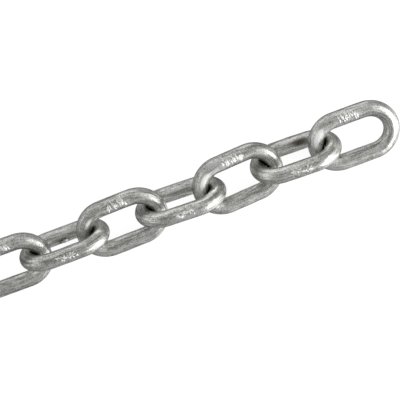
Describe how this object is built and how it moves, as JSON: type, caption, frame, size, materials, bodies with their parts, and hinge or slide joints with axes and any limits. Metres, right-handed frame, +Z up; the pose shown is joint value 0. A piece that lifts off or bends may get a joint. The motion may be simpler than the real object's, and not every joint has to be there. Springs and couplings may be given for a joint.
{
  "type": "welded steel chain length",
  "caption": "Straight length of hot-dip galvanised welded steel chain with long oval links, for lashing, hanging, fencing and mooring.",
  "frame": {"origin": "middle of the chain's length and width, on the floor that it lies on", "axes": "+X along the chain towards the free end that the picture shows, +Y across it, +Z up"},
  "size_m": [1.0004, 0.033, 0.0311],
  "materials": {
    "dull_zinc": "dull hot-dip galvanised zinc with faint spangle, drawing streaks and bright rubbed spots"
  },
  "bodies": {
    "link_01": {"link_01": "dull_zinc"},
    "link_02": {"link_02": "dull_zinc"},
    "link_03": {"link_03": "dull_zinc"},
    "link_04": {"link_04": "dull_zinc"},
    "link_05": {"link_05": "dull_zinc"},
    "link_06": {"link_06": "dull_zinc"},
    "link_07": {"link_07": "dull_zinc"},
    "link_08": {"link_08": "dull_zinc"},
    "link_09": {"link_09": "dull_zinc"},
    "link_10": {"link_10": "dull_zinc"},
    "link_11": {"link_11": "dull_zinc"},
    "link_12": {"link_12": "dull_zinc"},
    "link_13": {"link_13": "dull_zinc"},
    "link_14": {"link_14": "dull_zinc"},
    "link_15": {"link_15": "dull_zinc"},
    "link_16": {"link_16": "dull_zinc"},
    "link_17": {"link_17": "dull_zinc"},
    "link_18": {"link_18": "dull_zinc"},
    "link_19": {"link_19": "dull_zinc"},
    "link_20": {"link_20": "dull_zinc"},
    "link_21": {"link_21": "dull_zinc"},
    "link_22": {"link_22": "dull_zinc"},
    "link_23": {"link_23": "dull_zinc"},
    "link_24": {"link_24": "dull_zinc"},
    "link_25": {"link_25": "dull_zinc"},
    "link_26": {"link_26": "dull_zinc"}
  },
  "joints": [
    {"name": "hook_01_02", "type": "hinge", "parent": "link_01", "child": "link_02", "pos_m": [0.44717, -0.00014, 0.01422], "axis": [0.0051, 0.766, 0.6428], "range_deg": [-120, 120]},
    {"name": "hook_02_03", "type": "hinge", "parent": "link_02", "child": "link_03", "pos_m": [0.40948, 0.00085, 0.01441], "axis": [-0.0172, -0.777, 0.6293], "range_deg": [-120, 120]},
    {"name": "hook_03_04", "type": "hinge", "parent": "link_03", "child": "link_04", "pos_m": [0.37185, -0.00145, 0.01486], "axis": [0.0373, -0.7423, -0.6691], "range_deg": [-120, 120]},
    {"name": "hook_04_05", "type": "hinge", "parent": "link_04", "child": "link_05", "pos_m": [0.33418, -0.00014, 0.01513], "axis": [0.0202, 0.7191, -0.6946], "range_deg": [-120, 120]},
    {"name": "hook_05_06", "type": "hinge", "parent": "link_05", "child": "link_06", "pos_m": [0.29649, -0.00079, 0.01539], "axis": [-0.0075, 0.7071, 0.7071], "range_deg": [-120, 120]},
    {"name": "hook_06_07", "type": "hinge", "parent": "link_06", "child": "link_07", "pos_m": [0.25879, -0.00079, 0.01564], "axis": [0.0049, -0.682, 0.7313], "range_deg": [-120, 120]},
    {"name": "hook_07_08", "type": "hinge", "parent": "link_07", "child": "link_08", "pos_m": [0.22109, -0.00047, 0.01571], "axis": [-0.0073, -0.6691, -0.7431], "range_deg": [-120, 120]},
    {"name": "hook_08_09", "type": "hinge", "parent": "link_08", "child": "link_09", "pos_m": [0.18339, -0.00065, 0.01571], "axis": [-0.0031, 0.6704, -0.742], "range_deg": [-120, 120]},
    {"name": "hook_09_10", "type": "hinge", "parent": "link_09", "child": "link_10", "pos_m": [0.14569, -0.00047, 0.01565], "axis": [0.0021, 0.6703, 0.7421], "range_deg": [-120, 120]},
    {"name": "hook_10_11", "type": "hinge", "parent": "link_10", "child": "link_11", "pos_m": [0.10799, -0.00002, 0.01551], "axis": [-0.0109, -0.6786, 0.7344], "range_deg": [-120, 120]},
    {"name": "hook_11_12", "type": "hinge", "parent": "link_11", "child": "link_12", "pos_m": [0.0703, 0.0005, 0.01535], "axis": [-0.0064, -0.6916, -0.7223], "range_deg": [-120, 120]},
    {"name": "hook_12_13", "type": "hinge", "parent": "link_12", "child": "link_13", "pos_m": [0.0326, 0.00084, 0.01524], "axis": [0.0083, 0.7027, -0.7114], "range_deg": [-120, 120]},
    {"name": "hook_13_14", "type": "hinge", "parent": "link_13", "child": "link_14", "pos_m": [-0.0051, 0.00084, 0.01524], "axis": [0, 0.7071, 0.7071], "range_deg": [-120, 120]},
    {"name": "hook_14_15", "type": "hinge", "parent": "link_14", "child": "link_15", "pos_m": [-0.0428, 0.0005, 0.01535], "axis": [0.0083, -0.7027, 0.7114], "range_deg": [-120, 120]},
    {"name": "hook_15_16", "type": "hinge", "parent": "link_15", "child": "link_16", "pos_m": [-0.0805, -0.00002, 0.01551], "axis": [0.0064, -0.6916, -0.7223], "range_deg": [-120, 120]},
    {"name": "hook_16_17", "type": "hinge", "parent": "link_16", "child": "link_17", "pos_m": [-0.11819, -0.00047, 0.01565], "axis": [-0.0109, 0.6786, -0.7344], "range_deg": [-120, 120]},
    {"name": "hook_17_18", "type": "hinge", "parent": "link_17", "child": "link_18", "pos_m": [-0.15589, -0.00065, 0.01571], "axis": [-0.0021, 0.6703, 0.7421], "range_deg": [-120, 120]},
    {"name": "hook_18_19", "type": "hinge", "parent": "link_18", "child": "link_19", "pos_m": [-0.19359, -0.00047, 0.01565], "axis": [-0.0044, -0.6704, 0.742], "range_deg": [-120, 120]},
    {"name": "hook_19_20", "type": "hinge", "parent": "link_19", "child": "link_20", "pos_m": [-0.23129, -0.00001, 0.01551], "axis": [-0.0055, -0.679, -0.7341], "range_deg": [-120, 120]},
    {"name": "hook_20_21", "type": "hinge", "parent": "link_20", "child": "link_21", "pos_m": [-0.26899, 0.00051, 0.01535], "axis": [0.0126, 0.6918, -0.722], "range_deg": [-120, 120]},
    {"name": "hook_21_22", "type": "hinge", "parent": "link_21", "child": "link_22", "pos_m": [-0.30668, 0.00084, 0.01524], "axis": [0.0042, 0.7029, 0.7112], "range_deg": [-120, 120]},
    {"name": "hook_22_23", "type": "hinge", "parent": "link_22", "child": "link_23", "pos_m": [-0.34438, 0.00083, 0.01525], "axis": [0.0002, -0.7071, 0.7071], "range_deg": [-120, 120]},
    {"name": "hook_23_24", "type": "hinge", "parent": "link_23", "child": "link_24", "pos_m": [-0.38208, 0.00049, 0.01536], "axis": [0.0044, -0.7025, -0.7116], "range_deg": [-120, 120]},
    {"name": "hook_24_25", "type": "hinge", "parent": "link_24", "child": "link_25", "pos_m": [-0.41978, -0.00003, 0.01552], "axis": [-0.0126, 0.6912, -0.7226], "range_deg": [-120, 120]},
    {"name": "hook_25_26", "type": "hinge", "parent": "link_25", "child": "link_26", "pos_m": [-0.45748, -0.00048, 0.01565], "axis": [-0.0054, 0.6784, 0.7347], "range_deg": [-120, 120]}
  ]
}
